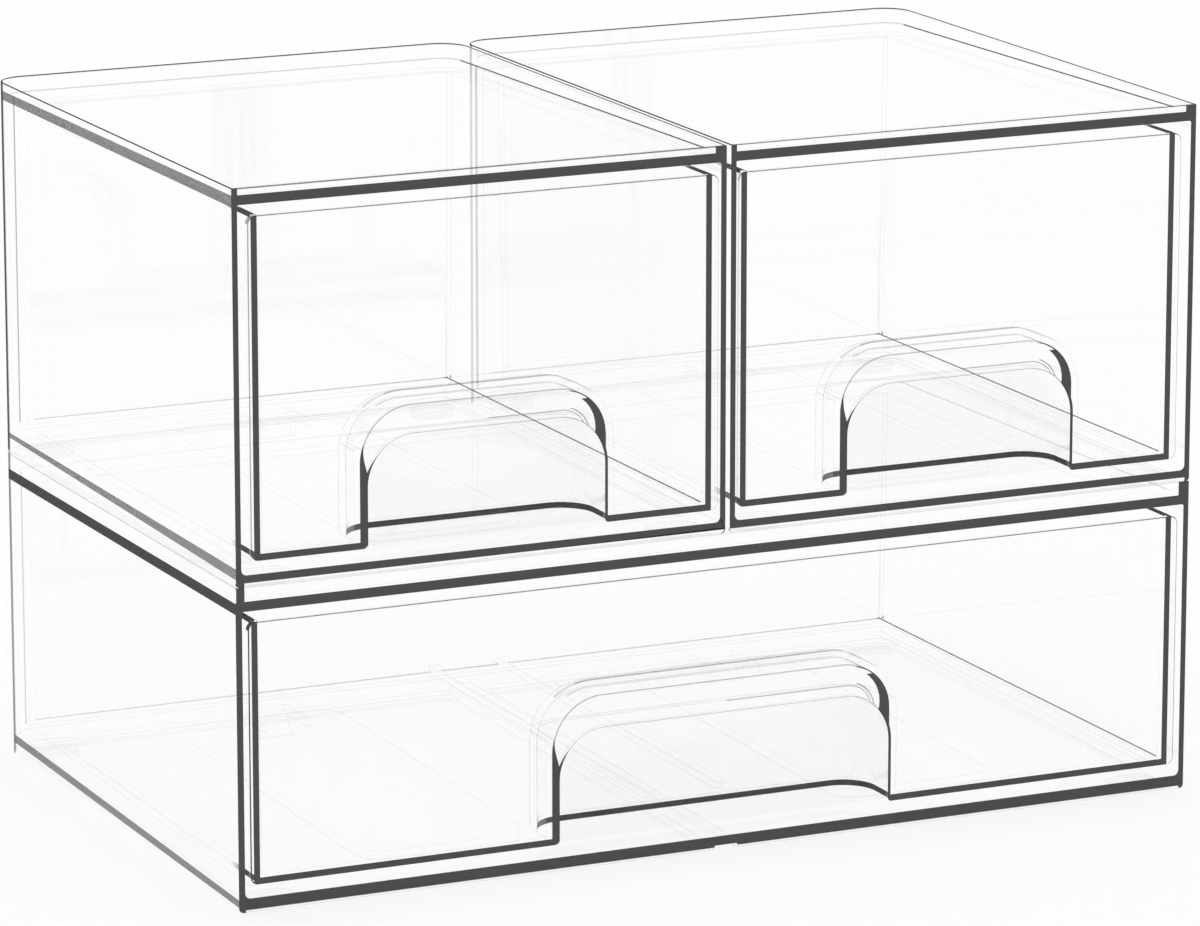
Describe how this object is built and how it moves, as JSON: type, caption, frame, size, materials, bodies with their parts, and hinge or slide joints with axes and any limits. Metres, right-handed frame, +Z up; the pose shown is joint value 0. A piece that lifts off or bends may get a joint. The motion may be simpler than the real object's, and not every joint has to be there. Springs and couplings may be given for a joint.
{
  "type": "clear stacking drawer organizer",
  "caption": "Clear stacking organizer for a vanity: a full-width drawer unit carries half-width units side by side, each with a sliding drawer and a scooped finger pocket.",
  "frame": {"origin": "centre of the stack's footprint, on the surface that the feet stand on", "axes": "+X to the right across the full width, -Y towards the user through the drawer fronts, +Z up"},
  "size_m": [0.33, 0.206, 0.2271],
  "materials": {
    "casing_clear": "clear moulded acrylic, polished",
    "drawer_clear": "clear moulded acrylic, polished",
    "soft_foot": "clear soft silicone, slightly hazy"
  },
  "bodies": {
    "lower_unit": {"lower_casing": "casing_clear", "lower_foot_front_left": "soft_foot", "lower_foot_front_right": "soft_foot", "lower_foot_rear_left": "soft_foot", "lower_foot_rear_right": "soft_foot"},
    "lower_drawer": {"lower_drawer": "drawer_clear"},
    "upper_left_unit": {"upper_left_casing": "casing_clear", "upper_left_foot_front_left": "soft_foot", "upper_left_foot_front_right": "soft_foot", "upper_left_foot_rear_left": "soft_foot", "upper_left_foot_rear_right": "soft_foot"},
    "upper_left_drawer": {"upper_left_drawer": "drawer_clear"},
    "upper_right_unit": {"upper_right_casing": "casing_clear", "upper_right_foot_front_left": "soft_foot", "upper_right_foot_front_right": "soft_foot", "upper_right_foot_rear_left": "soft_foot", "upper_right_foot_rear_right": "soft_foot"},
    "upper_right_drawer": {"upper_right_drawer": "drawer_clear"}
  },
  "joints": [
    {"name": "lower_drawer_slide", "type": "slide", "parent": "lower_unit", "child": "lower_drawer", "axis": [0, -1, 0], "range_m": [0, 0.1397]},
    {"name": "upper_left_lift", "type": "slide", "parent": "lower_unit", "child": "upper_left_unit", "axis": [0, 0, 1], "range_m": [0, 0.15]},
    {"name": "upper_right_lift", "type": "slide", "parent": "lower_unit", "child": "upper_right_unit", "axis": [0, 0, 1], "range_m": [0, 0.15]},
    {"name": "upper_left_drawer_slide", "type": "slide", "parent": "upper_left_unit", "child": "upper_left_drawer", "axis": [0, -1, 0], "range_m": [0, 0.1397]},
    {"name": "upper_right_drawer_slide", "type": "slide", "parent": "upper_right_unit", "child": "upper_right_drawer", "axis": [0, -1, 0], "range_m": [0, 0.1397]}
  ]
}
